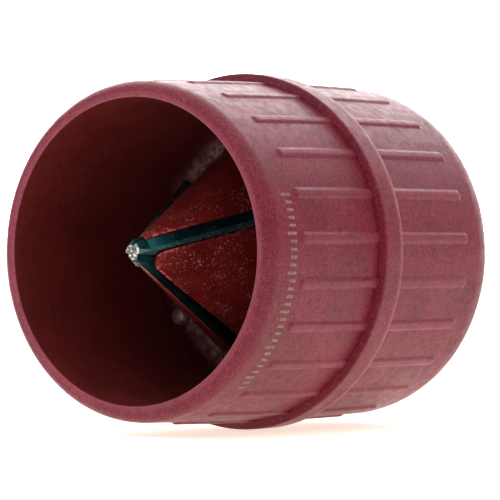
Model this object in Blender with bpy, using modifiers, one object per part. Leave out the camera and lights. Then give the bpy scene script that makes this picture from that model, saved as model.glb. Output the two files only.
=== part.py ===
"""Inner and outer tube deburring tool: a two-part drum around a slotted cone with three fixed blades.

Every piece is modelled about its own local Z, with the mouth's front plane at Z = 0 and the tool
running down to negative Z.  One empty then lays the whole tool on its side: the mouth faces -Y and
the tool's axis runs along Y through the origin, which is halfway between the two ends.
"""
import math

import bmesh
import bpy

MM = 0.001

# Overall drum
LENGTH = 54.4 * MM
BAND_RADIUS = 25.9 * MM
SEGMENTS = 72
GAP = 0.3 * MM

# Front shell: mouth, tapered bore and the spigot that enters the rear shell
MOUTH_BORE_RADIUS = 21.6 * MM
DEEP_BORE_RADIUS = 21.4 * MM
MOUTH_OUTER_RADIUS = 24.0 * MM
FRONT_END_RADIUS = 24.55 * MM
SPIGOT_RADIUS = 23.4 * MM
SPIGOT_END = 33.0 * MM

# Band and rear shell
BAND_START = 25.2 * MM
BAND_END = 29.4 * MM
REAR_START_RADIUS = 24.7 * MM
REAR_END_RADIUS = 24.6 * MM
REAR_OPENING_RADIUS = 21.7 * MM
EDGE = 0.25 * MM

# Cone carrier: a hollow slotted cone on a flange
CONE_NOSE_DEPTH = 3.6 * MM
CONE_NOSE_RADIUS = 2.55 * MM
CONE_BASE_RADIUS = 17.3 * MM
LEDGE_DEPTH = 33.3 * MM
FLANGE_THICKNESS = 3.7 * MM
HOLLOW_SLOPE = math.tan(math.radians(30.0))
HOLLOW_APEX = 12.3 * MM

# Blades: flat plates whose outer and inner edges both stand at 30 degrees to the axis
BLADE_ANGLES = (30.0, 150.0, 270.0)
BLADE_THICKNESS = 2.0 * MM
BLADE_SLOPE = math.tan(math.radians(30.0))
BLADE_OUTER_APEX = -0.6 * MM
BLADE_INNER_APEX = 15.4 * MM
BLADE_TIP_DEPTH = 0.2 * MM
BLADE_TIP_RADIUS = 1.2 * MM
BLADE_AXIS_CLEARANCE = 0.75 * MM
BLADE_BACK_RADIUS = 19.6 * MM
BLADE_END_DEPTH = 47.0 * MM
BLADE_EDGE_BREAK = 0.12 * MM

# Flange screws, midway between the blades
SCREW_ANGLES = (90.0, 210.0, 330.0)
SCREW_CIRCLE_RADIUS = 19.6 * MM
SCREW_HEAD_RADIUS = 1.35 * MM
SCREW_HEAD_TOP = 32.1 * MM
SCREW_HEAD_UNDERSIDE = 33.4 * MM
SCREW_SHANK_RADIUS = 1.15 * MM
SCREW_END = 41.2 * MM
SCREW_SOCKET_RADIUS = 0.62 * MM
SCREW_SOCKET_DEPTH = 0.75 * MM
SPOT_FACE_RADIUS = 1.7 * MM
SPOT_FACE_DEPTH = 0.4 * MM

# Grip ribs around both halves of the drum, running up to the band from either side
RIB_COUNT = 24
RIB_PHASE = 4.5
RIB_WIDTH = 1.9 * MM
RIB_HEIGHT = 0.3 * MM
RIB_CORNER = 0.7 * MM
RIB_ROUNDING = 0.5 * MM
RIB_ROOT = 0.6 * MM
FRONT_RIB_START = 7.0 * MM
REAR_RIB_END = 48.2 * MM


def make_material(name, colour, roughness, metallic):
    material = bpy.data.materials.new(name)
    material.use_nodes = True
    shader = material.node_tree.nodes["Principled BSDF"]
    shader.inputs["Base Color"].default_value = (*colour, 1.0)
    shader.inputs["Roughness"].default_value = roughness
    shader.inputs["Metallic"].default_value = metallic
    return material


def link_object(name, data, collection, parent):
    obj = bpy.data.objects.new(name, data)
    collection.objects.link(obj)
    obj.parent = parent
    return obj


def turned(name, profile, closed, segments, collection, parent):
    """A solid of revolution from (radius, depth) points, outer side first, mouth to rear."""
    mesh = bpy.data.meshes.new(name)
    bm = bmesh.new()
    verts = [bm.verts.new((radius, 0.0, -depth)) for radius, depth in profile]
    for first, second in zip(verts, verts[1:]):
        bm.edges.new((first, second))
    if closed:
        bm.edges.new((verts[-1], verts[0]))
    bm.to_mesh(mesh)
    bm.free()
    obj = link_object(name, mesh, collection, parent)
    screw = obj.modifiers.new("Turn", 'SCREW')
    screw.axis = 'Z'
    screw.angle = math.tau
    screw.steps = segments
    screw.render_steps = segments
    screw.use_merge_vertices = True
    screw.merge_threshold = 0.00001
    screw.use_smooth_shade = True
    return obj


def make_cutter(name, mesh, collection, parent):
    cutter = link_object(name, mesh, collection, parent)
    cutter.hide_render = True
    cutter.display_type = 'WIRE'
    return cutter


def subtract(obj, cutter):
    cut = obj.modifiers.new("Cut " + cutter.name, 'BOOLEAN')
    cut.operation = 'DIFFERENCE'
    cut.solver = 'EXACT'
    cut.object = cutter


def join(obj, addition):
    join_up = obj.modifiers.new("Join " + addition.name, 'BOOLEAN')
    join_up.operation = 'UNION'
    join_up.solver = 'EXACT'
    join_up.object = addition


def grip_ribs(name, start, end, surfaces, collection, parent):
    """A ring of rounded bars standing on a surface that runs from the first to the second radius."""
    bm = bmesh.new()
    for index in range(RIB_COUNT):
        angle = math.radians(RIB_PHASE + index * 360.0 / RIB_COUNT)
        bar = bmesh.ops.create_cube(bm, size=1.0)["verts"]
        for vert in bar:
            depth = start if vert.co.z > 0.0 else end
            height = -RIB_ROOT if vert.co.x < 0.0 else RIB_ROUNDING
            vert.co = (height, vert.co.y * RIB_WIDTH, -depth)
        edges = {edge for vert in bar for edge in vert.link_edges}
        upright = [edge for edge in edges if edge.verts[0].co.x * edge.verts[1].co.x < 0.0]
        rounded = bmesh.ops.bevel(bm, geom=upright, offset=RIB_CORNER, segments=2, profile=0.5,
                                  affect='EDGES')
        whole = {vert for face in rounded["faces"] for vert in face.verts}
        crest = {edge for vert in whole for edge in vert.link_edges
                 if edge.verts[0].co.x > 0.0 and edge.verts[1].co.x > 0.0}
        rounded = bmesh.ops.bevel(bm, geom=list(crest), offset=0.8 * RIB_ROUNDING, segments=2,
                                  profile=0.5, affect='EDGES')
        whole = {vert for vert in whole if vert.is_valid}
        whole.update(vert for face in rounded["faces"] for vert in face.verts)
        for vert in whole:
            x, y, z = vert.co
            share = (-z - start) / (end - start)
            surface = surfaces[0] + (surfaces[1] - surfaces[0]) * share
            radius = surface + (x * RIB_HEIGHT / RIB_ROUNDING if x > 0.0 else x)
            vert.co = (radius * math.cos(angle) - y * math.sin(angle),
                       radius * math.sin(angle) + y * math.cos(angle), z)
    mesh = bpy.data.meshes.new(name)
    bm.to_mesh(mesh)
    bm.free()
    return make_cutter(name, mesh, collection, parent)


def slot_cutter(name, angle, inner, outer, start, end, collection, parent):
    """A plain bar one blade thickness wide, plus the gap on both sides."""
    bm = bmesh.new()
    verts = bmesh.ops.create_cube(bm, size=1.0)["verts"]
    width = BLADE_THICKNESS + 2.0 * GAP
    for vert in verts:
        radius = inner if vert.co.x < 0.0 else outer
        depth = start if vert.co.z > 0.0 else end
        vert.co = (radius, vert.co.y * width, -depth)
    mesh = bpy.data.meshes.new(name)
    bm.to_mesh(mesh)
    bm.free()
    cutter = make_cutter(name, mesh, collection, parent)
    cutter.rotation_euler = (0.0, 0.0, math.radians(angle))
    return cutter


def drill_cutter(name, radius, start, end, collection, parent, sides=20):
    """Three round holes on the screw circle, in one cutter."""
    bm = bmesh.new()
    for angle in SCREW_ANGLES:
        verts = bmesh.ops.create_cone(bm, cap_ends=True, segments=sides, radius1=radius,
                                      radius2=radius, depth=end - start)["verts"]
        turn = math.radians(angle)
        centre = (SCREW_CIRCLE_RADIUS * math.cos(turn), SCREW_CIRCLE_RADIUS * math.sin(turn),
                  -0.5 * (start + end))
        bmesh.ops.translate(bm, verts=verts, vec=centre)
    mesh = bpy.data.meshes.new(name)
    bm.to_mesh(mesh)
    bm.free()
    return make_cutter(name, mesh, collection, parent)


def front_shell_profile():
    """Rounded lip, slightly barrelled outside, a spigot at the rear and a tapered bore."""
    return [
        (MOUTH_BORE_RADIUS + 0.15 * MM, 0.0),
        (MOUTH_BORE_RADIUS + 0.75 * MM, 0.0),
        (MOUTH_OUTER_RADIUS - 1.0 * MM, 0.3 * MM),
        (MOUTH_OUTER_RADIUS - 0.5 * MM, 0.72 * MM),
        (MOUTH_OUTER_RADIUS - 0.15 * MM, 1.3 * MM),
        (MOUTH_OUTER_RADIUS, 2.1 * MM),
        (MOUTH_OUTER_RADIUS + 0.15 * MM, FRONT_RIB_START),
        (MOUTH_OUTER_RADIUS + 0.4 * MM, 16.0 * MM),
        (FRONT_END_RADIUS, BAND_START - GAP),
        (SPIGOT_RADIUS, BAND_START - GAP),
        (SPIGOT_RADIUS, SPIGOT_END),
        (DEEP_BORE_RADIUS, SPIGOT_END),
        (MOUTH_BORE_RADIUS, 0.2 * MM),
    ]


def rear_shell_profile():
    """Band, drafted grip, rounded rear rim, rear funnel and the socket for the front shell."""
    socket = SPIGOT_RADIUS + GAP
    shoulder = LEDGE_DEPTH + FLANGE_THICKNESS + GAP
    funnel_end = HOLLOW_APEX + (REAR_OPENING_RADIUS - 0.3 * MM) / HOLLOW_SLOPE
    return [
        (BAND_RADIUS - EDGE, BAND_START),
        (BAND_RADIUS, BAND_START + EDGE),
        (BAND_RADIUS, BAND_END - EDGE),
        (BAND_RADIUS - EDGE, BAND_END),
        (REAR_START_RADIUS, BAND_END),
        (REAR_END_RADIUS, LENGTH - 3.0 * MM),
        (REAR_END_RADIUS - 0.3 * MM, LENGTH - 1.3 * MM),
        (REAR_END_RADIUS - 0.7 * MM, LENGTH - 0.4 * MM),
        (REAR_END_RADIUS - 1.15 * MM, LENGTH),
        (REAR_OPENING_RADIUS + 0.4 * MM, LENGTH),
        (REAR_OPENING_RADIUS, LENGTH - 0.5 * MM),
        (REAR_OPENING_RADIUS - 0.3 * MM, funnel_end),
        ((shoulder - HOLLOW_APEX) * HOLLOW_SLOPE, shoulder),
        (socket, shoulder),
        (socket, BAND_START),
    ]


def carrier_profile():
    """Truncated nose, cone, ledge and flange outside; the outer-deburring hollow inside."""
    flange_end = LEDGE_DEPTH + FLANGE_THICKNESS
    return [
        (0.0, CONE_NOSE_DEPTH),
        (CONE_NOSE_RADIUS - EDGE, CONE_NOSE_DEPTH),
        (CONE_NOSE_RADIUS, CONE_NOSE_DEPTH + EDGE),
        (CONE_BASE_RADIUS, LEDGE_DEPTH),
        (SPIGOT_RADIUS, LEDGE_DEPTH),
        (SPIGOT_RADIUS, flange_end),
        ((flange_end - HOLLOW_APEX) * HOLLOW_SLOPE, flange_end),
        (0.0, HOLLOW_APEX),
    ]


def blade_outline():
    """The plate's outline as (radius, depth) points, round from the tip's inner corner."""
    clear = BLADE_AXIS_CLEARANCE
    shoulder_depth = 2.2 * MM
    end_radius = (BLADE_END_DEPTH - BLADE_INNER_APEX) * BLADE_SLOPE
    return [
        (clear, BLADE_TIP_DEPTH),
        (BLADE_TIP_RADIUS, BLADE_TIP_DEPTH),
        ((shoulder_depth - BLADE_OUTER_APEX) * BLADE_SLOPE, shoulder_depth),
        (BLADE_BACK_RADIUS, BLADE_BACK_RADIUS / BLADE_SLOPE + BLADE_OUTER_APEX),
        (BLADE_BACK_RADIUS, BLADE_END_DEPTH),
        (end_radius, BLADE_END_DEPTH),
        (clear, BLADE_INNER_APEX + clear / BLADE_SLOPE),
    ]


def make_blade(name, angle, collection, parent):
    curve = bpy.data.curves.new(name, 'CURVE')
    curve.dimensions = '2D'
    curve.fill_mode = 'BOTH'
    curve.extrude = 0.5 * BLADE_THICKNESS
    spline = curve.splines.new('POLY')
    outline = blade_outline()
    spline.points.add(len(outline) - 1)
    for point, (radius, depth) in zip(spline.points, outline):
        point.co = (radius, -depth, 0.0, 1.0)
    spline.use_cyclic_u = True
    obj = link_object(name, curve, collection, parent)
    obj.rotation_euler = (math.radians(90.0), 0.0, math.radians(angle))
    weld = obj.modifiers.new("Weld", 'WELD')
    weld.merge_threshold = 0.00001
    bevel = obj.modifiers.new("Edge break", 'BEVEL')
    bevel.width = BLADE_EDGE_BREAK
    bevel.segments = 1
    bevel.limit_method = 'ANGLE'
    return obj


def make_screw(name, angle, collection, parent, cutters):
    """A small domed head with a hexagon socket, on a plain shank along the tool's axis."""
    profile = [
        (0.0, SCREW_HEAD_TOP),
        (0.5 * SCREW_HEAD_RADIUS, SCREW_HEAD_TOP + 0.1 * MM),
        (0.82 * SCREW_HEAD_RADIUS, SCREW_HEAD_TOP + 0.36 * MM),
        (SCREW_HEAD_RADIUS, SCREW_HEAD_TOP + 0.75 * MM),
        (SCREW_HEAD_RADIUS, SCREW_HEAD_UNDERSIDE),
        (SCREW_SHANK_RADIUS, SCREW_HEAD_UNDERSIDE),
        (SCREW_SHANK_RADIUS, SCREW_END - 0.4 * MM),
        (SCREW_SHANK_RADIUS - 0.4 * MM, SCREW_END),
        (0.0, SCREW_END),
    ]
    turn = math.radians(angle)
    place = (SCREW_CIRCLE_RADIUS * math.cos(turn), SCREW_CIRCLE_RADIUS * math.sin(turn), 0.0)
    screw = turned(name, profile, False, 20, collection, parent)
    screw.location = place
    bm = bmesh.new()
    bmesh.ops.create_cone(bm, cap_ends=True, segments=6, radius1=SCREW_SOCKET_RADIUS,
                          radius2=SCREW_SOCKET_RADIUS, depth=2.0 * SCREW_SOCKET_DEPTH)
    bmesh.ops.translate(bm, verts=bm.verts, vec=(0.0, 0.0, -SCREW_HEAD_TOP))
    mesh = bpy.data.meshes.new(name + "_socket_cutter")
    bm.to_mesh(mesh)
    bm.free()
    socket = make_cutter(mesh.name, mesh, cutters, parent)
    socket.location = place
    subtract(screw, socket)
    return screw


def build():
    for obj in list(bpy.data.objects):
        bpy.data.objects.remove(obj, do_unlink=True)

    scene = bpy.context.scene
    tool = bpy.data.collections.new("deburring_tool")
    cutters = bpy.data.collections.new("cutters")
    scene.collection.children.link(tool)
    scene.collection.children.link(cutters)

    drum_red = make_material("drum red coat", (0.27, 0.035, 0.052), 0.5, 0.0)
    cone_red = make_material("cone red coat", (0.20, 0.012, 0.014), 0.45, 0.0)
    blade_steel = make_material("blued blade steel", (0.03, 0.065, 0.08), 0.35, 1.0)
    screw_steel = make_material("screw steel", (0.35, 0.31, 0.30), 0.35, 1.0)

    axis = bpy.data.objects.new("tool_axis", None)
    tool.objects.link(axis)
    axis.location = (0.0, -0.5 * LENGTH, 0.0)
    axis.rotation_euler = (math.radians(90.0), 0.0, 0.0)

    front_shell = turned("front_shell", front_shell_profile(), True, SEGMENTS, tool, axis)
    front_surfaces = (MOUTH_OUTER_RADIUS + 0.15 * MM, FRONT_END_RADIUS)
    front_ribs = grip_ribs("front_rib_bars", FRONT_RIB_START, BAND_START - GAP - 0.05 * MM,
                           front_surfaces, cutters, axis)
    join(front_shell, front_ribs)

    rear_shell = turned("rear_shell", rear_shell_profile(), True, SEGMENTS, tool, axis)
    rear_ribs = grip_ribs("rear_rib_bars", BAND_END - RIB_ROUNDING, REAR_RIB_END,
                          (REAR_START_RADIUS, REAR_END_RADIUS), cutters, axis)
    join(rear_shell, rear_ribs)

    carrier = turned("blade_carrier", carrier_profile(), False, SEGMENTS, tool, axis)

    flange_end = LEDGE_DEPTH + FLANGE_THICKNESS
    slot_outer = BLADE_BACK_RADIUS + GAP
    for number, angle in enumerate(BLADE_ANGLES, start=1):
        front_slot = slot_cutter(f"carrier_slot_cutter_{number}", angle, -0.5 * MM, slot_outer,
                                 -1.0 * MM, flange_end + 1.0 * MM, cutters, axis)
        subtract(carrier, front_slot)
        rear_slot = slot_cutter(f"rear_slot_cutter_{number}", angle, 0.5 * slot_outer, slot_outer,
                                flange_end, BLADE_END_DEPTH + GAP, cutters, axis)
        subtract(rear_shell, rear_slot)

    shank_hole = SCREW_SHANK_RADIUS + GAP
    through_holes = drill_cutter("flange_hole_cutter", shank_hole, LEDGE_DEPTH - 1.0 * MM,
                                 flange_end + 1.0 * MM, cutters, axis)
    subtract(carrier, through_holes)
    spot_faces = drill_cutter("spot_face_cutter", SPOT_FACE_RADIUS, LEDGE_DEPTH - 1.0 * MM,
                              LEDGE_DEPTH + SPOT_FACE_DEPTH, cutters, axis)
    subtract(carrier, spot_faces)
    boss_holes = drill_cutter("boss_hole_cutter", shank_hole, flange_end, SCREW_END + GAP,
                              cutters, axis)
    subtract(rear_shell, boss_holes)

    for shell in (front_shell, rear_shell):
        shell.data.materials.append(drum_red)
    carrier.data.materials.append(cone_red)

    for number, angle in enumerate(BLADE_ANGLES, start=1):
        blade = make_blade(f"blade_{number}", angle, tool, axis)
        blade.data.materials.append(blade_steel)

    for number, angle in enumerate(SCREW_ANGLES, start=1):
        screw = make_screw(f"flange_screw_{number}", angle, tool, axis, cutters)
        screw.data.materials.append(screw_steel)


build()
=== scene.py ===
"""Looks for the tube deburring tool: coated drum, slotted cone, blued blades, and a plain studio.

The tool lies on its side: its axis is parallel to Y, the mouth faces -Y and the band touches the
floor.  Places on the tool are given as radius, angle (from +X towards +Z) and depth behind the
mouth's front plane.  Everything is in metres.
"""

import math

import bmesh
import bpy
from mathutils import Matrix, Vector


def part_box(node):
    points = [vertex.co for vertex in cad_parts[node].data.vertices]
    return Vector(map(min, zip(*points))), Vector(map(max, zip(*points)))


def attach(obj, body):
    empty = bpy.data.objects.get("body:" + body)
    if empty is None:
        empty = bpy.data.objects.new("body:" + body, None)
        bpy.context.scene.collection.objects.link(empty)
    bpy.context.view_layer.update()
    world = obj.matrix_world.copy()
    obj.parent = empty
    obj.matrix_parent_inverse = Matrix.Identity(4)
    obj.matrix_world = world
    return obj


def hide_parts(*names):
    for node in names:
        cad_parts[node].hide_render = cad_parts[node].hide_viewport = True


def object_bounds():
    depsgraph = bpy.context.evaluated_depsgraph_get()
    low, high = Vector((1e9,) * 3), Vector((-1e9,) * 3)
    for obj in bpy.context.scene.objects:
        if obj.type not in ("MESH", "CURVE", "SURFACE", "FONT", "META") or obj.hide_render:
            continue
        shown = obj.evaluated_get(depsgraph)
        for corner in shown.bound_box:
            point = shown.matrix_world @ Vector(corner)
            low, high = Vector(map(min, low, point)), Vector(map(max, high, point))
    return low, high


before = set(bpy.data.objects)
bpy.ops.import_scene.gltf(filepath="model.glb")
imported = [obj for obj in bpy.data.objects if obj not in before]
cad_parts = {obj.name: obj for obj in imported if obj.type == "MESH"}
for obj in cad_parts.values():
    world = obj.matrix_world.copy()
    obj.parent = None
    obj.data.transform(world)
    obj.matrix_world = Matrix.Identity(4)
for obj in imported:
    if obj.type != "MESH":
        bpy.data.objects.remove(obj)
cad_low, cad_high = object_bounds()

MM = 0.001

# ---------------------------------------------------------------- places read from the frame
FRONT_Y = cad_low.y
LENGTH = cad_high.y - cad_low.y
AXIS_Z = 0.5 * (cad_low.z + cad_high.z)
BAND_RADIUS = 0.5 * (cad_high.x - cad_low.x)
BAND_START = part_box("rear_shell")[0][1] - FRONT_Y
SPIGOT_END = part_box("front_shell")[1][1] - FRONT_Y
FLANGE_RADIUS = 0.5 * (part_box("blade_carrier")[1][0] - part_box("blade_carrier")[0][0])
FLANGE_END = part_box("blade_carrier")[1][1] - FRONT_Y
BLADE_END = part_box("blade_3")[1][1] - FRONT_Y
BLADE_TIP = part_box("blade_3")[0][1] - FRONT_Y
BLADE_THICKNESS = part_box("blade_3")[1][0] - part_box("blade_3")[0][0]
BLADE_BACK_RADIUS = AXIS_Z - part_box("blade_3")[0][2]
SCREW_CIRCLE_RADIUS = 0.5 * (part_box("flange_screw_1")[0][2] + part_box("flange_screw_1")[1][2]) - AXIS_Z

# ---------------------------------------------------------------- driving dimensions of the tool
GAP = 0.3 * MM
MOUTH_BORE_RADIUS = 21.6 * MM
DEEP_BORE_RADIUS = 21.4 * MM
MOUTH_LAND_RADIUS = 22.35 * MM
MOUTH_OUTER_RADIUS = 24.0 * MM
MOUTH_ROUNDING_DEPTH = 2.1 * MM
FRONT_END_RADIUS = 24.55 * MM
BAND_END = 29.4 * MM
REAR_START_RADIUS = 24.7 * MM
REAR_END_RADIUS = 24.6 * MM
REAR_OPENING_RADIUS = 21.7 * MM
REAR_ROUNDING = 3.0 * MM
CONE_NOSE_DEPTH = 3.6 * MM
CONE_NOSE_RADIUS = 2.55 * MM
CONE_BASE_RADIUS = 17.3 * MM
LEDGE_DEPTH = 33.3 * MM
HALF_ANGLE_SLOPE = math.tan(math.radians(30.0))
HOLLOW_APEX = 12.3 * MM
BLADE_OUTER_APEX = -0.6 * MM
BLADE_INNER_APEX = 15.4 * MM
BLADE_TIP_RADIUS = 1.2 * MM
BLADE_AXIS_CLEARANCE = 0.75 * MM
BLADE_RIDGE_RADIUS = 0.05 * MM
BLADE_TIP_THINNING = 0.26 * MM
BLADE_GROUND_WIDTH = 0.5 * MM
BLADE_ANGLES = (30.0, 150.0, 270.0)
SCREW_ANGLES = (90.0, 210.0, 330.0)
SPOT_FACE_RADIUS = 1.7 * MM
SPOT_FACE_DEPTH = 0.4 * MM

RIB_COUNT = 24
RIB_PHASE = 4.5
RIB_HALF_WIDTH = 0.95 * MM
RIB_HEIGHT = 0.3 * MM
RIB_CORNER = 0.85 * MM
RIB_FLANK = 0.62 * MM
FRONT_RIBS = (7.0 * MM, 26.0 * MM)
REAR_RIBS = (27.0 * MM, 48.2 * MM)
RIBBED_RADIUS = 23.9 * MM
GRIP_RADIUS = 24.9 * MM
RIB_WEAR = 0.12
SHELL_SEAM = 0.02 * MM
SHELL_EDGE = 0.08 * MM

MARK_START = 4.0 * MM
MARK_END = 6.0 * MM
MARK_FIRST_ANGLE = 19.0
MARK_LAST_ANGLE = -52.0
MARK_STEP = 2.6
MARK_WIDTH = 0.42 * MM
MARK_THICKNESS = 0.012 * MM

# ---------------------------------------------------------------- camera
CAMERA_YAW = math.radians(36.46)
CAMERA_DISTANCE = 480.0 * MM
CAMERA_SHIFT_RIGHT = 15.7 * MM
CAMERA_SHIFT_UP = 0.23 * MM
CAMERA_LENS = 247.06
CAMERA_TARGET_DEPTH = 1.3 * MM

# ---------------------------------------------------------------- studio light
BACKDROP_SPAN = (0.42, 0.92)
BACKDROP_STRENGTH = (0.17, 4.0)
OVERHEAD_SPAN = (0.25, 0.9)
OVERHEAD_STRENGTH = (0.0, 1.4)
# Floor glow pool around the tool, painted light: (start, end) distance and (near, far) strength.
FLOOR_GLOW_SPAN = (0.022, 0.055)
FLOOR_GLOW = (0.74, 0.05)
SOFTBOX_POWER = 0.62
SOFTBOX_SIZE = (0.6, 0.4)
SOFTBOX_FROM_TARGET = (-0.36, -0.50, 0.22)
FLOOR_HALF_SIZE = 20.0
FLOOR_DROP = 0.02 * MM
SENSOR_WIDTH = 36.0


def on_tool(radius, angle, depth):
    """A world point from radius, angle in degrees and depth behind the mouth plane."""
    turn = math.radians(angle)
    return Vector((radius * math.cos(turn), FRONT_Y + depth, AXIS_Z + radius * math.sin(turn)))


def interpolate(value, points):
    """Straight-line interpolation through (x, y) points sorted by x."""
    for (x0, y0), (x1, y1) in zip(points, points[1:]):
        if value <= x1:
            return y0 + (y1 - y0) * max(0.0, (value - x0) / (x1 - x0))
    return points[-1][1]


def smoothstep(value):
    value = min(1.0, max(0.0, value))
    return value * value * (3.0 - 2.0 * value)


# ---------------------------------------------------------------- materials
class Nodes:
    """Short calls for wiring one material's node tree."""

    def __init__(self, name, roughness=0.5, metallic=0.0):
        self.material = bpy.data.materials.new(name)
        self.material.use_nodes = True
        self.tree = self.material.node_tree
        self.shader = self.tree.nodes["Principled BSDF"]
        self.shader.inputs["Roughness"].default_value = roughness
        self.shader.inputs["Metallic"].default_value = metallic
        self.position = self.tree.nodes.new("ShaderNodeTexCoord").outputs["Object"]

    def set(self, **values):
        for name, value in values.items():
            self.shader.inputs[name.replace("_", " ")].default_value = value

    def link(self, source, target):
        self.tree.links.new(source, target)

    def noise(self, scale, detail=2.0, rough=0.5):
        node = self.tree.nodes.new("ShaderNodeTexNoise")
        node.inputs["Scale"].default_value = scale
        node.inputs["Detail"].default_value = detail
        node.inputs["Roughness"].default_value = rough
        self.link(self.position, node.inputs["Vector"])
        return node.outputs["Fac"]

    def remap(self, value, low, high, to_low=0.0, to_high=1.0):
        node = self.tree.nodes.new("ShaderNodeMapRange")
        node.interpolation_type = 'SMOOTHSTEP'
        node.inputs["From Min"].default_value = low
        node.inputs["From Max"].default_value = high
        node.inputs["To Min"].default_value = to_low
        node.inputs["To Max"].default_value = to_high
        self.link(value, node.inputs["Value"])
        return node.outputs["Result"]

    def math(self, operation, first, second):
        node = self.tree.nodes.new("ShaderNodeMath")
        node.operation = operation
        for socket, value in zip(node.inputs, (first, second)):
            if isinstance(value, float):
                socket.default_value = value
            else:
                self.link(value, socket)
        return node.outputs["Value"]

    def mix(self, factor, first, second):
        """Colour mix; each input is a colour tuple or a socket."""
        node = self.tree.nodes.new("ShaderNodeMix")
        node.data_type = 'RGBA'
        self.link(factor, node.inputs["Factor"])
        for socket, value in ((node.inputs[6], first), (node.inputs[7], second)):
            if isinstance(value, tuple):
                socket.default_value = (*value, 1.0)
            else:
                self.link(value, socket)
        return node.outputs[2]

    def attribute(self, name):
        node = self.tree.nodes.new("ShaderNodeAttribute")
        node.attribute_name = name
        return node.outputs["Fac"]

    def axis_radius_and_depth(self):
        """Distance from the tool's axis, and depth behind the mouth plane."""
        split = self.tree.nodes.new("ShaderNodeSeparateXYZ")
        self.link(self.position, split.inputs[0])
        height = self.math('SUBTRACT', split.outputs["Z"], AXIS_Z)
        squares = self.math('ADD', self.math('POWER', split.outputs["X"], 2.0),
                            self.math('POWER', height, 2.0))
        depth = self.math('SUBTRACT', split.outputs["Y"], FRONT_Y)
        return self.math('SQRT', squares, 0.0), depth

    def slot_lips(self):
        """One along the lips of the three blade slots, fading to zero beside them."""
        nearest = None
        for angle in BLADE_ANGLES:
            turn = math.radians(angle)
            along = self.dot((math.cos(turn), 0.0, math.sin(turn)))
            across = self.math('ABSOLUTE', self.dot((-math.sin(turn), 0.0, math.cos(turn))), 0.0)
            behind = self.math('MULTIPLY', self.math('MINIMUM', along, 0.0), -20.0)
            distance = self.math('ADD', across, behind)
            nearest = distance if nearest is None else self.math('MINIMUM', nearest, distance)
        lip = 0.5 * BLADE_THICKNESS + GAP
        return self.remap(nearest, lip + 0.15 * MM, lip + 0.45 * MM, 1.0, 0.0)

    def dot(self, direction):
        """Distance from the tool's axis along one direction."""
        node = self.tree.nodes.new("ShaderNodeVectorMath")
        node.operation = 'DOT_PRODUCT'
        node.inputs[1].default_value = direction
        self.link(self.position, node.inputs[0])
        return self.math('SUBTRACT', node.outputs["Value"], AXIS_Z * direction[2])

    def distance(self):
        """Distance from the piece's own origin."""
        node = self.tree.nodes.new("ShaderNodeVectorMath")
        node.operation = 'LENGTH'
        self.link(self.position, node.inputs[0])
        return node.outputs["Value"]

    def bump(self, height, distance, strength=1.0):
        node = self.tree.nodes.new("ShaderNodeBump")
        node.inputs["Distance"].default_value = distance
        node.inputs["Strength"].default_value = strength
        self.link(height, node.inputs["Height"])
        self.link(node.outputs["Normal"], self.shader.inputs["Normal"])

    def finish(self, colour, roughness=None):
        self.link(colour, self.shader.inputs["Base Color"])
        if roughness is not None:
            self.link(roughness, self.shader.inputs["Roughness"])
        return self.material


def coat_material(name, dark, light, fleck_amount, sheen):
    """Sprayed powder coat, mottled and grained; paler on rubbed edges and painted highlights, darker with
    painted shade in corners and on shaded faces.
    """
    nodes = Nodes(name)
    nodes.set(Specular_IOR_Level=0.3, Sheen_Weight=sheen, Sheen_Roughness=0.25)
    patches = nodes.remap(nodes.noise(140.0, 3.0), 0.35, 0.65)
    colour = nodes.mix(patches, dark, light)
    grain = nodes.noise(2900.0, 2.0, 0.7)
    pit = tuple(0.45 * channel for channel in dark)
    colour = nodes.mix(nodes.remap(grain, 0.34, 0.50, 0.7, 0.0), colour, pit)
    flecks = nodes.remap(grain, 0.54, 0.70, 0.0, fleck_amount)
    colour = nodes.mix(flecks, colour, (0.40, 0.11, 0.16))
    patchiness = nodes.remap(nodes.noise(900.0, 3.0), 0.3, 0.6, 0.55, 1.0)
    # Positive row values: rubbed coat on edges, plus a painted highlight on the lip and the band's rear
    # rounding.
    tone_shift = nodes.math('MAXIMUM', nodes.attribute("wear_and_painted_light"), 0.0)
    colour = nodes.mix(nodes.math('MULTIPLY', tone_shift, patchiness), colour, (0.50, 0.14, 0.20))
    # Negative row values: painted shade, pulling the colour towards a near-black red.
    shaded = nodes.math('MAXIMUM', nodes.math('MULTIPLY', nodes.attribute("wear_and_painted_light"), -1.0), 0.0)
    colour = nodes.mix(nodes.math('MULTIPLY', shaded, patchiness), colour, (0.05, 0.002, 0.006))
    nodes.bump(nodes.noise(2400.0, 3.0, 0.65), 0.06 * MM, 0.55)
    roughness = nodes.remap(nodes.noise(700.0, 2.0), 0.3, 0.7, 0.36, 0.50)
    return nodes.finish(colour, roughness)


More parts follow.
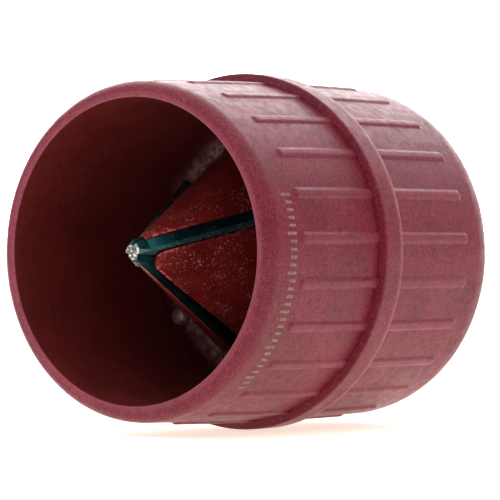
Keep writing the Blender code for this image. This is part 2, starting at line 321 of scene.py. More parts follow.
def cone_material():
    """The cone's thinner, redder coat, rubbed at its nose and slot lips, with pale smudges on the ledge
    and painted shade towards the bore wall.
    """
    nodes = Nodes("cone coat")
    nodes.set(Specular_IOR_Level=0.12)
    radius, depth = nodes.axis_radius_and_depth()
    patches = nodes.remap(nodes.noise(180.0, 3.0), 0.35, 0.65)
    colour = nodes.mix(patches, (0.125, 0.006, 0.006), (0.185, 0.011, 0.010))
    grain = nodes.noise(3600.0, 2.0, 0.7)
    colour = nodes.mix(nodes.remap(grain, 0.34, 0.48, 0.75, 0.0), colour, (0.05, 0.003, 0.004))
    flecks = nodes.math('MULTIPLY', nodes.remap(nodes.noise(2700.0, 2.0, 0.7), 0.55, 0.68, 0.0, 0.9),
                        nodes.remap(nodes.noise(420.0, 2.0), 0.38, 0.62, 0.15, 1.0))
    colour = nodes.mix(flecks, colour, (0.46, 0.20, 0.17))
    on_ledge = nodes.remap(radius, CONE_BASE_RADIUS - 0.3 * MM, CONE_BASE_RADIUS + 0.2 * MM)
    smudges = nodes.mix(nodes.remap(nodes.noise(800.0, 4.0, 0.65), 0.38, 0.64), (0.15, 0.035, 0.038),
                        (0.34, 0.19, 0.18))
    # The ledge darkens towards the bore wall: painted shade.
    ledge = nodes.mix(nodes.remap(radius, CONE_BASE_RADIUS + 0.8 * MM, CONE_BASE_RADIUS + 3.4 * MM),
                      smudges, (0.07, 0.009, 0.012))
    colour = nodes.mix(on_ledge, colour, ledge)
    chipped = nodes.remap(nodes.noise(1500.0, 3.0), 0.44, 0.60, 0.0, 1.0)
    nose = nodes.remap(depth, CONE_NOSE_DEPTH + 0.2 * MM, CONE_NOSE_DEPTH + 1.0 * MM, 0.45, 0.0)
    lip = nodes.math('MULTIPLY', nodes.slot_lips(),
                     nodes.remap(depth, CONE_NOSE_DEPTH + 1.0 * MM, CONE_NOSE_DEPTH + 8.0 * MM, 1.0, 0.0))
    rubbed = nodes.math('MULTIPLY', nodes.math('MAXIMUM', nose, lip), chipped)
    colour = nodes.mix(rubbed, colour, (0.72, 0.12, 0.13))
    nodes.bump(nodes.noise(2400.0, 3.0, 0.6), 0.04 * MM, 0.6)
    roughness = nodes.remap(nodes.noise(500.0, 2.0), 0.3, 0.7, 0.34, 0.5)
    return nodes.finish(colour, roughness)


def blade_material():
    """Blue-black oxide over steel, thinner and greener towards the tip, pale at the very tip."""
    nodes = Nodes("blued blade steel", 0.35, 0.9)
    _, depth = nodes.axis_radius_and_depth()
    clouds = nodes.remap(nodes.noise(420.0, 3.0), 0.35, 0.65)
    colour = nodes.mix(clouds, (0.003, 0.024, 0.036), (0.006, 0.050, 0.064))
    towards_tip = nodes.math('MULTIPLY', nodes.remap(depth, 1.0 * MM, 6.5 * MM, 1.0, 0.0),
                             nodes.remap(nodes.noise(700.0, 2.0), 0.3, 0.6, 0.6, 1.0))
    colour = nodes.mix(towards_tip, colour, (0.025, 0.22, 0.24))
    nicks = nodes.remap(nodes.noise(2300.0, 1.0), 0.68, 0.76, 0.0, 0.6)
    colour = nodes.mix(nicks, colour, (0.25, 0.32, 0.31))
    nodes.bump(nodes.noise(1400.0, 3.0), 0.02 * MM, 0.5)
    roughness = nodes.remap(nodes.noise(700.0, 2.0), 0.3, 0.7, 0.30, 0.48)
    return nodes.finish(colour, roughness)


def flank_material():
    """The blades' cutting-side flanks: the same oxide in a lighter copy as painted light, with pale
    specks.
    """
    nodes = Nodes("blade flank lightened as painted light", 0.4, 0.6)
    _, depth = nodes.axis_radius_and_depth()
    clouds = nodes.remap(nodes.noise(520.0, 3.0), 0.35, 0.65)
    # Lighter than the blade oxide: painted light on the flank.
    colour = nodes.mix(clouds, (0.020, 0.075, 0.085), (0.045, 0.15, 0.16))
    specks = nodes.math('MULTIPLY', nodes.remap(nodes.noise(1500.0, 2.0), 0.56, 0.68, 0.0, 0.9),
                        nodes.remap(depth, 4.0 * MM, 30.0 * MM, 1.0, 0.4))
    colour = nodes.mix(specks, colour, (0.42, 0.46, 0.44))
    nodes.bump(nodes.noise(1400.0, 3.0), 0.02 * MM, 0.5)
    return nodes.finish(colour, nodes.remap(nodes.noise(700.0, 2.0), 0.3, 0.7, 0.32, 0.5))


def ground_tip_material():
    """The ground facets at the blades' very tips: bare steel painted near-white as a painted highlight,
    oxidised again away from the axis.
    """
    nodes = Nodes("ground tip", 0.35, 0.1)
    radius, _ = nodes.axis_radius_and_depth()
    scratches = nodes.noise(2200.0, 3.0, 0.6)
    # Near-white ground steel: a painted highlight standing in for the tips' glint.
    colour = nodes.mix(nodes.remap(scratches, 0.42, 0.62), (0.10, 0.105, 0.10), (0.86, 0.83, 0.77))
    colour = nodes.mix(nodes.remap(radius, 0.9 * MM, 1.35 * MM), colour, (0.03, 0.12, 0.13))
    nodes.bump(scratches, 0.02 * MM, 0.5)
    return nodes.finish(colour, nodes.remap(scratches, 0.3, 0.7, 0.25, 0.45))


def ground_edge_material():
    """The ground edge on the cutting side: oxidised, but on the lowest blade a painted glint near the
    tip, then a painted reflection of the red coat.
    """
    nodes = Nodes("ground cutting edge", 0.35, 0.3)
    _, depth = nodes.axis_radius_and_depth()
    scratches = nodes.noise(2600.0, 3.0)
    oxide = nodes.mix(nodes.remap(depth, 1.0 * MM, 7.0 * MM), (0.035, 0.19, 0.20),
                      (0.012, 0.045, 0.052))
    oxide = nodes.mix(nodes.remap(scratches, 0.58, 0.70, 0.0, 0.6), oxide, (0.35, 0.40, 0.38))
    # Painted glint near the tip, turning pink further in.
    painted_glint = nodes.mix(nodes.remap(depth, 0.6 * MM, 3.0 * MM), (0.80, 0.74, 0.68), (0.62, 0.30, 0.30))
    painted_glint = nodes.mix(nodes.remap(scratches, 0.36, 0.58), (0.16, 0.07, 0.07), painted_glint)
    # Painted reflection of the red coat along the lowest blade's edge.
    painted_red_reflection = nodes.mix(nodes.remap(nodes.noise(600.0, 3.0), 0.35, 0.65), (0.20, 0.045, 0.022),
                        (0.34, 0.085, 0.045))
    tone_shift = nodes.mix(nodes.remap(depth, 3.5 * MM, 8.0 * MM), painted_glint, painted_red_reflection)
    # Only the lowest blade, picked by height, gets the painted glint and reflection.
    low = nodes.remap(nodes.dot((0.0, 0.0, 1.0)), -0.9 * MM, -0.1 * MM, 1.0, 0.0)
    nodes.bump(scratches, 0.02 * MM, 0.5)
    return nodes.finish(nodes.mix(low, oxide, tone_shift), nodes.remap(scratches, 0.3, 0.7, 0.3, 0.45))


def screw_material():
    """Turned steel, coloured a warm brownish pink as a painted reflection of the red coat around it."""
    nodes = Nodes("screw steel", 0.4, 0.5)
    # Brownish-pink patches: painted reflection of the red coat.
    reflection_patches = nodes.remap(nodes.noise(900.0, 3.0), 0.35, 0.65)
    colour = nodes.mix(reflection_patches, (0.30, 0.12, 0.10), (0.52, 0.30, 0.27))
    nodes.bump(nodes.noise(2600.0, 2.0), 0.01 * MM, 0.5)
    return nodes.finish(colour, nodes.remap(nodes.noise(1200.0), 0.3, 0.7, 0.32, 0.5))


def ink_material():
    """Pad-printed silver-beige ink, thin enough to break up over the coat's grain."""
    nodes = Nodes("printed ink", 0.55)
    grain = nodes.remap(nodes.noise(3400.0, 2.0, 0.65), 0.36, 0.52)
    colour = nodes.mix(grain, (0.13, 0.05, 0.055), (0.29, 0.17, 0.145))
    nodes.bump(nodes.noise(2600.0, 3.0), 0.03 * MM, 0.5)
    return nodes.finish(colour, nodes.remap(nodes.noise(900.0), 0.3, 0.7, 0.45, 0.6))


# ---------------------------------------------------------------- mesh helpers
def mesh_object(name, mesh, materials, hidden=False):
    obj = bpy.data.objects.new(name, mesh)
    bpy.context.scene.collection.objects.link(obj)
    for material in materials:
        mesh.materials.append(material)
    obj.hide_render = hidden
    return obj


def face_outward_and_smooth(mesh, sharp_degrees):
    bm = bmesh.new()
    bm.from_mesh(mesh)
    bmesh.ops.recalc_face_normals(bm, faces=bm.faces)
    bm.to_mesh(mesh)
    bm.free()
    mesh.shade_smooth()
    mesh.set_sharp_from_angle(angle=math.radians(sharp_degrees))


def ring_mesh(name, rows, angles, rise=None):
    """A closed ring of (radius, depth, tone shift) rows; rise(depth, angle) lifts the ribbed surface."""
    verts, wear_and_painted_light = [], []
    for radius, depth, tone_shift in rows:
        for angle in angles:
            lift = rise(depth, angle) if rise and RIBBED_RADIUS < radius < GRIP_RADIUS else 0.0
            verts.append(on_tool(radius + lift, angle, depth))
            wear_and_painted_light.append(max(tone_shift, RIB_WEAR * lift / RIB_HEIGHT))
    count = len(angles)
    faces = []
    for row in range(len(rows)):
        below = (row + 1) % len(rows)
        for column in range(count):
            beside = (column + 1) % count
            faces.append((row * count + column, below * count + column,
                          below * count + beside, row * count + beside))
    mesh = bpy.data.meshes.new(name)
    mesh.from_pydata(verts, [], faces)
    # The tone per vertex: rubbed paleness and painted highlight when positive, painted shade when
    # negative.
    attribute = mesh.attributes.new("wear_and_painted_light", 'FLOAT', 'POINT')
    attribute.data.foreach_set("value", wear_and_painted_light)
    return mesh


def box_cutter(name, angle, inner, outer, start, end, width):
    """A bar across the tool's wall, standing on one blade's plane."""
    bm = bmesh.new()
    for vert in bmesh.ops.create_cube(bm, size=1.0)["verts"]:
        radius = inner if vert.co.x < 0.0 else outer
        depth = start if vert.co.y < 0.0 else end
        side = Vector((0.0, 0.0, vert.co.z * width))
        vert.co = Vector((radius, FRONT_Y + depth, 0.0)) + side
    bmesh.ops.rotate(bm, verts=bm.verts, matrix=turn_about_axis(angle))
    bmesh.ops.translate(bm, verts=bm.verts, vec=(0.0, 0.0, AXIS_Z))
    mesh = bpy.data.meshes.new(name)
    bm.to_mesh(mesh)
    bm.free()
    return mesh_object(name, mesh, [], hidden=True)


def turn_about_axis(angle):
    """Rotation about Y that takes +X towards +Z."""
    return Matrix.Rotation(-math.radians(angle), 3, 'Y')


def round_cutter(name, angle, radius, start, end):
    bm = bmesh.new()
    bmesh.ops.create_cone(bm, cap_ends=True, segments=40, radius1=radius, radius2=radius,
                          depth=end - start)
    bmesh.ops.rotate(bm, verts=bm.verts, matrix=Matrix.Rotation(math.radians(90.0), 3, 'X'))
    bmesh.ops.translate(bm, verts=bm.verts,
                        vec=on_tool(SCREW_CIRCLE_RADIUS, angle, 0.5 * (start + end)))
    mesh = bpy.data.meshes.new(name)
    bm.to_mesh(mesh)
    bm.free()
    return mesh_object(name, mesh, [], hidden=True)


def cut_and_break_edges(obj, cutters, edge_width):
    """Subtracts the cutters, softens the new edges, and leaves one plain mesh."""
    for cutter in cutters:
        cut = obj.modifiers.new(cutter.name, 'BOOLEAN')
        cut.operation = 'DIFFERENCE'
        cut.solver = 'EXACT'
        cut.object = cutter
    if edge_width:
        bevel = obj.modifiers.new("Edge break", 'BEVEL')
        bevel.width = edge_width
        bevel.segments = 2
        bevel.limit_method = 'ANGLE'
        bevel.angle_limit = math.radians(35.0)
    depsgraph = bpy.context.evaluated_depsgraph_get()
    solid = bpy.data.meshes.new_from_object(obj.evaluated_get(depsgraph))
    obj.modifiers.clear()
    obj.data = solid
    for cutter in cutters:
        bpy.data.objects.remove(cutter, do_unlink=True)


# ---------------------------------------------------------------- drum
def rib_angles():
    """Angles around the drum, close together across every rib."""
    shares = (-1.06, -1.0, -0.92, -0.82, -0.72, -0.62, -0.5, -0.3, -0.1)
    steps = [RIB_HALF_WIDTH * share for share in shares]
    steps += [-step for step in reversed(steps)]
    foot = steps[-1]
    land = 2.0 * math.pi * FRONT_END_RADIUS / RIB_COUNT - 2.0 * foot
    steps += [foot + land * part / 6.0 for part in range(1, 6)]
    angles = []
    for index in range(RIB_COUNT):
        centre = RIB_PHASE + index * 360.0 / RIB_COUNT
        angles += [centre + math.degrees(step / FRONT_END_RADIUS) for step in steps]
    return angles


def rib_rise(start, end):
    """Height of the grip ribs at a place on the drum: soft bars with round ends."""
    half_length = 0.5 * (end - start)
    middle = start + half_length

    def rise(depth, angle):
        pitch = 360.0 / RIB_COUNT
        offset = (angle - RIB_PHASE + 0.5 * pitch) % pitch - 0.5 * pitch
        across = abs(math.radians(offset)) * FRONT_END_RADIUS - RIB_HALF_WIDTH + RIB_CORNER
        along = abs(depth - middle) - half_length + RIB_CORNER
        inside = RIB_CORNER - math.hypot(max(across, 0.0), max(along, 0.0))
        inside -= min(max(across, along), 0.0)
        return RIB_HEIGHT * smoothstep(inside / RIB_FLANK)

    return rise


def front_surface_radius(depth):
    return interpolate(depth, [
        (MOUTH_ROUNDING_DEPTH, MOUTH_OUTER_RADIUS), (FRONT_RIBS[0], MOUTH_OUTER_RADIUS + 0.15 * MM),
        (16.0 * MM, MOUTH_OUTER_RADIUS + 0.4 * MM), (BAND_START - GAP, FRONT_END_RADIUS)])


def front_shade(depth):
    """Painted shade on the front half: darker behind the lip and in front of the band."""
    behind_lip = 0.35 * (1.0 - smoothstep((depth - MOUTH_ROUNDING_DEPTH) / (4.0 * MM)))
    before_band = 0.25 * smoothstep((depth - 20.0 * MM) / (5.0 * MM))
    return -behind_lip - before_band


def rear_surface_radius(depth):
    return interpolate(depth, [(BAND_END, REAR_START_RADIUS), (LENGTH - REAR_ROUNDING, REAR_END_RADIUS)])


def spaced(start, end, step):
    """Evenly spaced depths from start up to but not including end."""
    count = max(1, round((end - start) / step))
    return [start + (end - start) * index / count for index in range(count)]


def front_shell_rows():
    """Lip, outside, spigot and bore, as (radius, depth, tone shift)."""
    # Lip land and inner edge: paler, rubbed coat with a painted highlight.
    rows = [(MOUTH_BORE_RADIUS + 0.15 * MM, 0.0, 0.3),
            (0.5 * (MOUTH_BORE_RADIUS + MOUTH_LAND_RADIUS), 0.0, 0.2)]
    # The outer rounding darkens row by row towards its outside: painted shade.
    steps = 9
    for step in range(steps):
        turn = 0.5 * math.pi * step / steps
        rows.append((MOUTH_LAND_RADIUS + (MOUTH_OUTER_RADIUS - MOUTH_LAND_RADIUS) * math.sin(turn),
                     MOUTH_ROUNDING_DEPTH * (1.0 - math.cos(turn)), max(-0.9, 0.15 - 0.25 * step)))
    shell_end = BAND_START - SHELL_SEAM
    edge = SHELL_EDGE
    rib_start = FRONT_RIBS[0]
    depths = spaced(MOUTH_ROUNDING_DEPTH, rib_start - 0.1 * MM, 0.6 * MM)
    depths += spaced(rib_start - 0.1 * MM, rib_start + 1.2 * MM, 0.12 * MM)
    depths += spaced(rib_start + 1.2 * MM, shell_end - edge, 0.9 * MM)
    for depth in depths + [shell_end - edge]:
        rows.append((front_surface_radius(depth), depth, front_shade(depth)))
    # Shell end before the band: painted shade in the corner.
    rows += [(FRONT_END_RADIUS - 0.02 * MM, shell_end - 0.02 * MM, -0.25),
             (FRONT_END_RADIUS - edge, shell_end, -0.4),
             (FLANGE_RADIUS + 0.05 * MM, shell_end, 0.0),
             (FLANGE_RADIUS, shell_end + 0.1 * MM, 0.0),
             (FLANGE_RADIUS, SPIGOT_END, 0.0),
             (DEEP_BORE_RADIUS, SPIGOT_END, 0.0)]
    for depth in reversed(spaced(0.25 * MM, SPIGOT_END, 3.0 * MM)):
        radius = MOUTH_BORE_RADIUS + (DEEP_BORE_RADIUS - MOUTH_BORE_RADIUS) * depth / SPIGOT_END
        rows.append((radius, depth, 0.0))
    # Inner lip edge: paler, rubbed coat with a painted highlight.
    rows.append((MOUTH_BORE_RADIUS + 0.04 * MM, 0.08 * MM, 0.4))
    return rows


def rear_shell_rows():
    """Band, grip, rear rim, funnel and socket, as (radius, depth, tone shift)."""
    edge = 0.25 * MM
    socket = FLANGE_RADIUS + GAP
    # Band's front face: painted shade.
    rows = [(socket, BAND_START, -0.8), (BAND_RADIUS - edge, BAND_START, -0.5)]
    for turn in (30.0, 60.0):
        rows.append((BAND_RADIUS - edge + edge * math.sin(math.radians(turn)),
                     BAND_START + edge - edge * math.cos(math.radians(turn)), 0.0))
    rows.append((BAND_RADIUS, BAND_START + edge, 0.1))
    rows += [(BAND_RADIUS, depth, 0.0)
             for depth in spaced(BAND_START + 2.0 * edge, BAND_END - edge, 0.9 * MM)]
    # Band's rear rounding: paler, a painted highlight with rubbed coat.
    rows.append((BAND_RADIUS, BAND_END - edge, 0.3))
    for turn in (30.0, 60.0, 90.0):
        rows.append((BAND_RADIUS - edge + edge * math.cos(math.radians(turn)),
                     BAND_END - edge + edge * math.sin(math.radians(turn)), 0.4))
    rows += [(REAR_START_RADIUS + RIB_HEIGHT + 0.2 * MM, BAND_END, 0.0),
             (REAR_START_RADIUS, BAND_END + 0.2 * MM, 0.0)]
    body_end = LENGTH - REAR_ROUNDING
    rib_end = REAR_RIBS[1]
    depths = spaced(BAND_END + 0.4 * MM, rib_end - 1.2 * MM, 0.9 * MM)
    depths += spaced(rib_end - 1.2 * MM, rib_end + 0.1 * MM, 0.12 * MM)
    depths += spaced(rib_end + 0.1 * MM, body_end, 0.6 * MM)
    for depth in depths:
        rows.append((rear_surface_radius(depth), depth, 0.0))
    for radius_drop, before_end in ((0.0, 3.0), (0.08, 2.4), (0.17, 1.8), (0.3, 1.3), (0.47, 0.8),
                                    (0.7, 0.4), (0.9, 0.16), (1.15, 0.0)):
        rows.append((REAR_END_RADIUS - radius_drop * MM, LENGTH - before_end * MM, 0.0))
    rows += [(REAR_OPENING_RADIUS + 0.4 * MM, LENGTH, 0.3),
             (REAR_OPENING_RADIUS + 0.12 * MM, LENGTH - 0.15 * MM, 0.4),
             (REAR_OPENING_RADIUS, LENGTH - 0.5 * MM, 0.1)]
    funnel_end = HOLLOW_APEX + (REAR_OPENING_RADIUS - 0.3 * MM) / HALF_ANGLE_SLOPE
    shoulder = FLANGE_END + GAP
    for depth in reversed(spaced(shoulder, funnel_end, 1.5 * MM) + [funnel_end]):
        rows.append(((depth - HOLLOW_APEX) * HALF_ANGLE_SLOPE, depth, 0.0))
    rows.append((socket, shoulder, 0.0))
    return rows


def make_drum(coat, shaded_bore_coat):
    angles = rib_angles()
    front_mesh = ring_mesh("front_drum_half", front_shell_rows(), angles, rib_rise(*FRONT_RIBS))
    face_outward_and_smooth(front_mesh, 40.0)
    # Faces of the bore take the darker bore coat: painted shade inside the mouth.
    bore_limit = MOUTH_BORE_RADIUS + 0.01 * MM
    for polygon in front_mesh.polygons:
        if math.hypot(polygon.center.x, polygon.center.z - AXIS_Z) < bore_limit:
            polygon.material_index = 1
    front = mesh_object("front_drum_half", front_mesh, [coat, shaded_bore_coat])
    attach(front, "root")
    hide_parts("front_shell")

    rear_mesh = ring_mesh("rear_drum_half", rear_shell_rows(), angles, rib_rise(*REAR_RIBS))
    face_outward_and_smooth(rear_mesh, 40.0)
    rear = mesh_object("rear_drum_half", rear_mesh, [coat])
    slots = [box_cutter(f"rear_slot_{index}", angle, 0.5 * BLADE_BACK_RADIUS,
                        BLADE_BACK_RADIUS + GAP, FLANGE_END, BLADE_END + GAP,
                        BLADE_THICKNESS + 2.0 * GAP)
             for index, angle in enumerate(BLADE_ANGLES)]
    cut_and_break_edges(rear, slots, 0.0)
    face_outward_and_smooth(rear.data, 40.0)
    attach(rear, "root")
    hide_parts("rear_shell")


# ---------------------------------------------------------------- cone carrier
def carrier_rows():
    """Nose, cone, ledge, flange and hollow; the slots remove everything near the axis."""
    core = 0.4 * MM
    slope = (CONE_BASE_RADIUS - CONE_NOSE_RADIUS) / (LEDGE_DEPTH - CONE_NOSE_DEPTH)
    rows = [(core, CONE_NOSE_DEPTH, 0.0), (CONE_NOSE_RADIUS, CONE_NOSE_DEPTH, 0.0)]
    for depth in spaced(CONE_NOSE_DEPTH, LEDGE_DEPTH - 0.5 * MM, 3.0 * MM)[1:]:
        rows.append((CONE_NOSE_RADIUS + slope * (depth - CONE_NOSE_DEPTH), depth, 0.0))
    rows += [(CONE_BASE_RADIUS - 0.25 * MM, LEDGE_DEPTH - 0.5 * MM, 0.0),
             (CONE_BASE_RADIUS, LEDGE_DEPTH - 0.16 * MM, 0.0),
             (CONE_BASE_RADIUS + 0.35 * MM, LEDGE_DEPTH, 0.0),
             (FLANGE_RADIUS, LEDGE_DEPTH, 0.0), (FLANGE_RADIUS, FLANGE_END, 0.0)]
    hollow_start = HOLLOW_APEX + core / HALF_ANGLE_SLOPE
    for depth in reversed(spaced(hollow_start, FLANGE_END, 3.0 * MM) + [FLANGE_END]):
        rows.append(((depth - HOLLOW_APEX) * HALF_ANGLE_SLOPE, depth, 0.0))
    return rows


def make_carrier(coat):
    columns = 180
    angles = [360.0 * (index + 0.5) / columns for index in range(columns)]
    mesh = ring_mesh("slotted_cone", carrier_rows(), angles)
    face_outward_and_smooth(mesh, 30.0)
    cone = mesh_object("slotted_cone", mesh, [coat])
    cutters = [box_cutter(f"cone_slot_{index}", angle, -0.5 * MM, BLADE_BACK_RADIUS + GAP,
                          -1.0 * MM, FLANGE_END + 1.0 * MM, BLADE_THICKNESS + 2.0 * GAP)
               for index, angle in enumerate(BLADE_ANGLES)]
    cutters += [round_cutter(f"spot_face_{index}", angle, SPOT_FACE_RADIUS,
                             LEDGE_DEPTH - 1.0 * MM, LEDGE_DEPTH + SPOT_FACE_DEPTH)
                for index, angle in enumerate(SCREW_ANGLES)]
    cut_and_break_edges(cone, cutters, 0.12 * MM)
    face_outward_and_smooth(cone.data, 30.0)
    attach(cone, "root")
    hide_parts("blade_carrier")


# ---------------------------------------------------------------- blades
def make_blade(name, node, angle, materials):
    """A flat plate, slightly thinner at its tip, with a ridge-shaped inner edge on the axis side."""
    taper_end = 3.0 * MM
    shoulder = 2.2 * MM
    ridge_slope = math.tan(math.radians(60.0))
    clear = BLADE_RIDGE_RADIUS + 0.5 * BLADE_THICKNESS / ridge_slope
    inner_start = BLADE_INNER_APEX + BLADE_AXIS_CLEARANCE / HALF_ANGLE_SLOPE
    outline = [
        (clear - BLADE_TIP_THINNING / ridge_slope, BLADE_TIP),
        (BLADE_TIP_RADIUS, BLADE_TIP),
        ((shoulder - BLADE_OUTER_APEX) * HALF_ANGLE_SLOPE, shoulder),
        ((taper_end - BLADE_OUTER_APEX) * HALF_ANGLE_SLOPE, taper_end),
        (BLADE_BACK_RADIUS, BLADE_BACK_RADIUS / HALF_ANGLE_SLOPE + BLADE_OUTER_APEX),
        (BLADE_BACK_RADIUS, BLADE_END),
        ((BLADE_END - BLADE_INNER_APEX) * HALF_ANGLE_SLOPE, BLADE_END),
        (clear, inner_start),
        (clear, taper_end),
    ]
    count = len(outline)
    bm = bmesh.new()
    sides = []
    for direction in (-1.0, 1.0):
        side = []
        for radius, depth in outline:
            thin = BLADE_TIP_THINNING * (1.0 - min(1.0, (depth - BLADE_TIP) / (taper_end - BLADE_TIP)))
            side.append(bm.verts.new((radius, FRONT_Y + depth,
                                      direction * (0.5 * BLADE_THICKNESS - thin))))
        sides.append(side)
    ridge = [bm.verts.new((BLADE_RIDGE_RADIUS, FRONT_Y + depth, 0.0))
             for depth in (inner_start, taper_end, BLADE_TIP)]
    flank = bm.faces.new(sides[0])
    bm.faces.new(list(reversed(sides[1])))
    for index in range(count - 3):
        bm.faces.new((sides[0][index], sides[0][index + 1], sides[1][index + 1], sides[1][index]))
    bm.faces.new((sides[0][6], sides[0][7], sides[1][7], sides[1][6]))
    chain = (7, 8, 0)
    for step in (0, 1):
        first, second = chain[step], chain[step + 1]
        bm.faces.new((sides[0][first], sides[0][second], ridge[step + 1], ridge[step]))
        bm.faces.new((sides[1][second], sides[1][first], ridge[step], ridge[step + 1]))
    bm.faces.new((sides[0][0], sides[1][0], ridge[2]))
    bm.faces.new((sides[1][7], sides[0][7], ridge[0]))
    flank.material_index = 3
    for face in bm.faces:
        if max(vert.co.y for vert in face.verts) < FRONT_Y + BLADE_TIP + 0.05 * MM:
            face.material_index = 1
    cutting_edges = [bm.edges.get((sides[0][index], sides[0][index + 1])) for index in (1, 2, 3)]
    ground = bmesh.ops.bevel(bm, geom=cutting_edges, offset=BLADE_GROUND_WIDTH, segments=1,
                             affect='EDGES', clamp_overlap=True)
    for face in ground["faces"]:
        face.material_index = 2
    bmesh.ops.rotate(bm, verts=bm.verts, matrix=turn_about_axis(angle))
    bmesh.ops.translate(bm, verts=bm.verts, vec=(0.0, 0.0, AXIS_Z))
    bmesh.ops.recalc_face_normals(bm, faces=bm.faces)
    mesh = bpy.data.meshes.new(name)
    bm.to_mesh(mesh)
    bm.free()
    blade = mesh_object(name, mesh, materials)
    bevel = blade.modifiers.new("Edge break", 'BEVEL')
    bevel.width = 0.06 * MM
    bevel.segments = 2
    bevel.limit_method = 'ANGLE'
    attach(blade, "root")
    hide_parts(node)


# ---------------------------------------------------------------- printed scale on the collar
def make_marks(ink):
    """A plain row of scale ticks, every fifth one longer, printed on the smooth collar."""
    bm = bmesh.new()
    count = round((MARK_FIRST_ANGLE - MARK_LAST_ANGLE) / MARK_STEP)
    for index in range(count + 1):
        angle = MARK_FIRST_ANGLE - MARK_STEP * index
        start = MARK_START if index % 5 == 0 else MARK_START + 0.6 * MM
        half_turn = math.degrees(0.5 * MARK_WIDTH / MOUTH_OUTER_RADIUS)
        grid = []
        for lift in (0.002 * MM, MARK_THICKNESS):
            for depth in (start, 0.5 * (start + MARK_END), MARK_END):
                for side in (-half_turn, half_turn):
                    radius = front_surface_radius(depth) + lift
                    grid.append(bm.verts.new(on_tool(radius, angle + side, depth)))
        for row in (0, 2):
            bm.faces.new((grid[row], grid[row + 1], grid[row + 3], grid[row + 2]))
            bm.faces.new((grid[row + 6], grid[row + 8], grid[row + 9], grid[row + 7]))
            bm.faces.new((grid[row], grid[row + 2], grid[row + 8], grid[row + 6]))
            bm.faces.new((grid[row + 1], grid[row + 7], grid[row + 9], grid[row + 3]))
        bm.faces.new((grid[0], grid[6], grid[7], grid[1]))
        bm.faces.new((grid[4], grid[5], grid[11], grid[10]))
    bmesh.ops.recalc_face_normals(bm, faces=bm.faces)
    mesh = bpy.data.meshes.new("collar_scale_marks")
    bm.to_mesh(mesh)
    bm.free()
    marks = mesh_object("collar_scale_marks", mesh, [ink])
    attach(marks, "root")


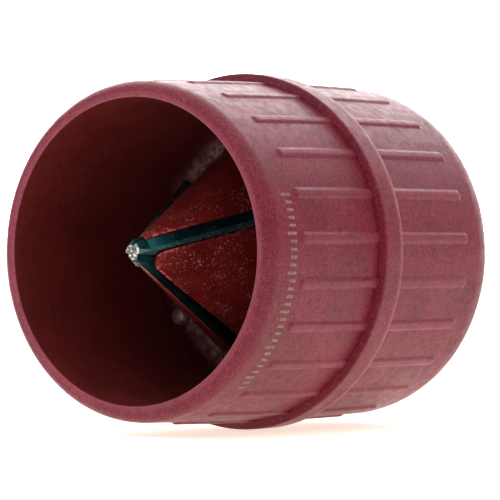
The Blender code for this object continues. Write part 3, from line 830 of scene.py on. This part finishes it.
# ---------------------------------------------------------------- studio
def make_studio():
    scene = bpy.context.scene
    scene.view_settings.view_transform = 'Standard'

    forward = Vector((-math.sin(CAMERA_YAW), math.cos(CAMERA_YAW), 0.0))
    right = Vector((math.cos(CAMERA_YAW), math.sin(CAMERA_YAW), 0.0))
    target = Vector((0.0, FRONT_Y + CAMERA_TARGET_DEPTH, AXIS_Z))
    camera_data = bpy.data.cameras.new("camera")
    camera_data.lens = CAMERA_LENS
    camera_data.sensor_width = SENSOR_WIDTH
    camera_data.clip_start = 0.01
    camera_data.clip_end = 100.0
    camera = bpy.data.objects.new("camera", camera_data)
    scene.collection.objects.link(camera)
    camera.location = (target - forward * CAMERA_DISTANCE + right * CAMERA_SHIFT_RIGHT
                       + Vector((0.0, 0.0, CAMERA_SHIFT_UP)))
    camera.rotation_euler = (math.radians(90.0), 0.0, CAMERA_YAW)
    scene.camera = camera

    floor_mesh = bpy.data.meshes.new("studio_floor")
    bm = bmesh.new()
    bmesh.ops.create_grid(bm, x_segments=1, y_segments=1, size=FLOOR_HALF_SIZE)
    bm.to_mesh(floor_mesh)
    bm.free()
    paper = Nodes("pale floor with painted glow", 0.9)
    # The floor glows in a pool around the tool: painted light that fills its shadow and lights its
    # underside.
    paper.set(Specular_IOR_Level=0.2, Emission_Color=(1.0, 0.92, 0.78, 1.0))
    paper.link(paper.remap(paper.distance(), *FLOOR_GLOW_SPAN, *FLOOR_GLOW),
               paper.shader.inputs["Emission Strength"])
    tone = paper.remap(paper.noise(3.0), 0.3, 0.7)
    paper.finish(paper.mix(tone, (0.92, 0.89, 0.84), (0.93, 0.90, 0.85)))
    floor = mesh_object("studio_floor", floor_mesh, [paper.material])
    floor.location = (0.0, 0.0, cad_low.z - FLOOR_DROP)

    world = bpy.data.worlds.new("studio")
    scene.world = world
    world.use_nodes = True
    tree = world.node_tree
    background = tree.nodes["Background"]
    place = tree.nodes.new("ShaderNodeTexCoord")
    toward = tree.nodes.new("ShaderNodeVectorMath")
    toward.operation = 'DOT_PRODUCT'
    toward.inputs[1].default_value = forward
    tree.links.new(place.outputs["Generated"], toward.inputs[0])
    backdrop = tree.nodes.new("ShaderNodeMapRange")
    overhead = tree.nodes.new("ShaderNodeMapRange")
    for glow, span, strength in ((backdrop, BACKDROP_SPAN, BACKDROP_STRENGTH),
                                 (overhead, OVERHEAD_SPAN, OVERHEAD_STRENGTH)):
        glow.interpolation_type = 'SMOOTHSTEP'
        glow.inputs["From Min"].default_value, glow.inputs["From Max"].default_value = span
        glow.inputs["To Min"].default_value, glow.inputs["To Max"].default_value = strength
    tree.links.new(toward.outputs["Value"], backdrop.inputs["Value"])
    split = tree.nodes.new("ShaderNodeSeparateXYZ")
    tree.links.new(place.outputs["Generated"], split.inputs[0])
    tree.links.new(split.outputs["Z"], overhead.inputs["Value"])
    total = tree.nodes.new("ShaderNodeMath")
    total.operation = 'ADD'
    tree.links.new(backdrop.outputs["Result"], total.inputs[0])
    tree.links.new(overhead.outputs["Result"], total.inputs[1])
    background.inputs["Color"].default_value = (1.0, 1.0, 1.0, 1.0)
    tree.links.new(total.outputs["Value"], background.inputs["Strength"])

    lamp_data = bpy.data.lights.new("front_left_softbox", 'AREA')
    lamp_data.shape = 'RECTANGLE'
    lamp_data.size, lamp_data.size_y = SOFTBOX_SIZE
    lamp_data.energy = SOFTBOX_POWER
    lamp = bpy.data.objects.new("front_left_softbox", lamp_data)
    scene.collection.objects.link(lamp)
    lamp.location = target + Vector(SOFTBOX_FROM_TARGET)
    lamp.rotation_euler = (target - lamp.location).to_track_quat('-Z', 'Y').to_euler()


# ---------------------------------------------------------------- everything together
# The bore coat is the drum coat darkened as painted shade.
make_drum(coat_material("drum coat", (0.180, 0.0125, 0.029), (0.222, 0.0175, 0.038), 0.35, 0.06),
          coat_material("bore coat with painted shade", (0.12, 0.013, 0.012), (0.15, 0.017, 0.015), 0.08, 0.0))
make_carrier(cone_material())
blade_materials = [blade_material(), ground_tip_material(), ground_edge_material(), flank_material()]
for number, blade_angle in enumerate(BLADE_ANGLES, start=1):
    make_blade(f"ground_blade_{number}", f"blade_{number}", blade_angle, blade_materials)
steel = screw_material()
for number in (1, 2, 3):
    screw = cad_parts[f"flange_screw_{number}"]
    screw.data.materials.clear()
    screw.data.materials.append(steel)
make_marks(ink_material())
make_studio()
